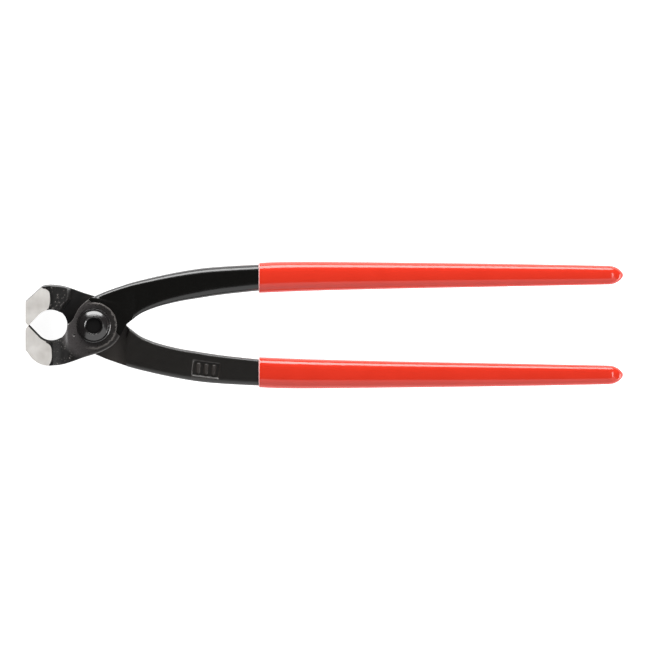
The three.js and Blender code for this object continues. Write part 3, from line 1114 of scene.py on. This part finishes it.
def is_broached(middle, normal):
    """Whether a face is on the wall of the window, or of the mouth in front of it."""
    x, y, z = (middle - PIVOT) / MM
    in_window = math.hypot(x - WINDOW_X, y) < WINDOW_RADIUS + SLACK
    in_mouth = EDGE_X < x < WINDOW_X and abs(y) < 4.9
    return (in_window or in_mouth) and abs(normal.z) < UPRIGHT


def is_ground(middle, normal):
    """Whether a face is on a side or the front of a jaw, or on the bevel in front of its edge."""
    x, y, z = (middle - PIVOT) / MM
    on_side = abs(z) > HALF_HEAD - 0.01 and abs(normal.z) > LEVEL
    on_front = x < FRONT_X + 0.01 and normal.x < -LEVEL
    on_bevel = x < EDGE_X and abs(y) < 2 and abs(normal.z) < UPRIGHT
    return on_side or on_front or on_bevel


def is_mark(middle, normal):
    """Whether a face is on a slope or a raised bar of the size mark."""
    x, y, z = (middle - PIVOT) / MM
    on_panel = abs(x - MARK_X) < 0.6 * MARK_LENGTH and abs(y - MARK_Y) < 0.7 * MARK_HEIGHT
    return on_panel and ARM_HALF - MARK_DEPTH + SLACK < z < ARM_HALF - 0.02


def is_cut(middle, normal):
    """Whether a face is on the trimmed edge of a grip."""
    return middle.x < mouth_x + GRIP_LIP * MM


# %% [markdown]
# Each finish has a slot of its own. A face that passes several tests keeps the last finish it was given.

# %% Give the pieces their finishes
def add_finish(piece, finish, wanted):
    """Gives a finish to the faces of a piece that pass a test."""
    piece.data.materials.append(finish)
    only(piece)
    bpy.ops.object.mode_set(mode="EDIT")
    bpy.ops.mesh.select_mode(type="FACE")
    print(piece.name, finish.name, selected_faces(piece, wanted), "faces")
    piece.active_material_index = len(piece.data.materials) - 1
    bpy.ops.object.material_slot_assign()
    bpy.ops.object.mode_set(mode="OBJECT")


for lever, forged_black in ((front_lever, front_black), (rear_lever, rear_black)):
    lever.data.materials.clear()
    lever.data.materials.append(forged_black)
    add_finish(lever, scaled_black, is_head)
    add_finish(lever, milled_black, is_lap)
    add_finish(lever, broached_black, is_broached)
    add_finish(lever, bright, is_ground)
add_finish(rear_lever, mark_highlight_black, is_mark)
for grip in (upper_grip, lower_grip):
    grip.data.materials.append(vinyl)
    add_finish(grip, lip_highlight_vinyl, is_cut)

# %% [markdown]
# ## The studio
# The tool lies on a white acrylic sheet that is lit from below as well, so no shadow greys it.

# %% Floor
bpy.ops.object.select_all(action="DESELECT")
bpy.ops.mesh.primitive_plane_add(size=6, location=(0, 0, -0.0002))
floor = bpy.context.object
floor.name = "floor"
floor_sheet, tree, _ = new_material("backlit_white_acrylic")
finish_material(
    tree, Base_Color=linear("#C8C8C8"), Roughness=0.9,
    Emission_Color=linear("#FFFFFF"), Emission_Strength=0.95,
)
floor.data.materials.append(floor_sheet)


# %% [markdown]
# One large softbox beyond the tool makes the long highlights, and a dim wide one on the near side fills
# the edges there. The space overhead stays dark, so the flat black faces read as black. A small low light
# off the handles' end catches the rims that face it, and a lamp above them sparks their tips.

# %% Lights
def softbox(name, place, width, height, brightness):
    """A rectangular light that faces the tool, and whose own surface has the given brightness."""
    bpy.ops.object.light_add(type="AREA", location=place)
    light = bpy.context.object
    light.name = name
    light.data.shape = "RECTANGLE"
    light.data.size = width
    light.data.size_y = height
    light.data.energy = brightness * math.pi * width * height
    light.rotation_euler = (-Vector(place)).to_track_quat("-Z", "Y").to_euler()
    return light


softbox("far_softbox", (0, 1.2, 0.62), 1.6, 0.8, 10)
softbox("near_fill", (0.3, -1.25, 0.95), 3.2, 2.2, 1.25)
softbox("right_card", (1.19, -0.39, 0.08), 0.9, 0.14, 12)
softbox("tip_lamp", (0.6, 0, 0.95), 0.26, 0.16, 9)

world = bpy.data.worlds.new("studio")
bpy.context.scene.world = world
world.use_nodes = True
sky = world.node_tree.nodes["Background"]
sky.inputs["Color"].default_value = linear("#FFFFFF")
sky.inputs["Strength"].default_value = 0.04
bpy.context.scene.view_settings.view_transform = "Standard"

# %% [markdown]
# ## The camera
# The tool is seen from almost straight above, with a long lens, from very slightly beyond it.

# %% Camera
VIEW_TILT = math.radians(2)
VIEW_DISTANCE = 8
VIEW_WIDTH = 0.2722
SENSOR = 36
AIM_X = 0.0003
aim = Vector((AIM_X, 0, PIVOT.z))
bpy.ops.object.camera_add(
    location=aim + Vector((0, math.sin(VIEW_TILT), math.cos(VIEW_TILT))) * VIEW_DISTANCE,
    rotation=(-VIEW_TILT, 0, 0),
)
camera = bpy.context.object
camera.data.sensor_width = SENSOR
camera.data.lens = SENSOR * VIEW_DISTANCE / VIEW_WIDTH
bpy.context.scene.camera = camera

# %% [markdown]
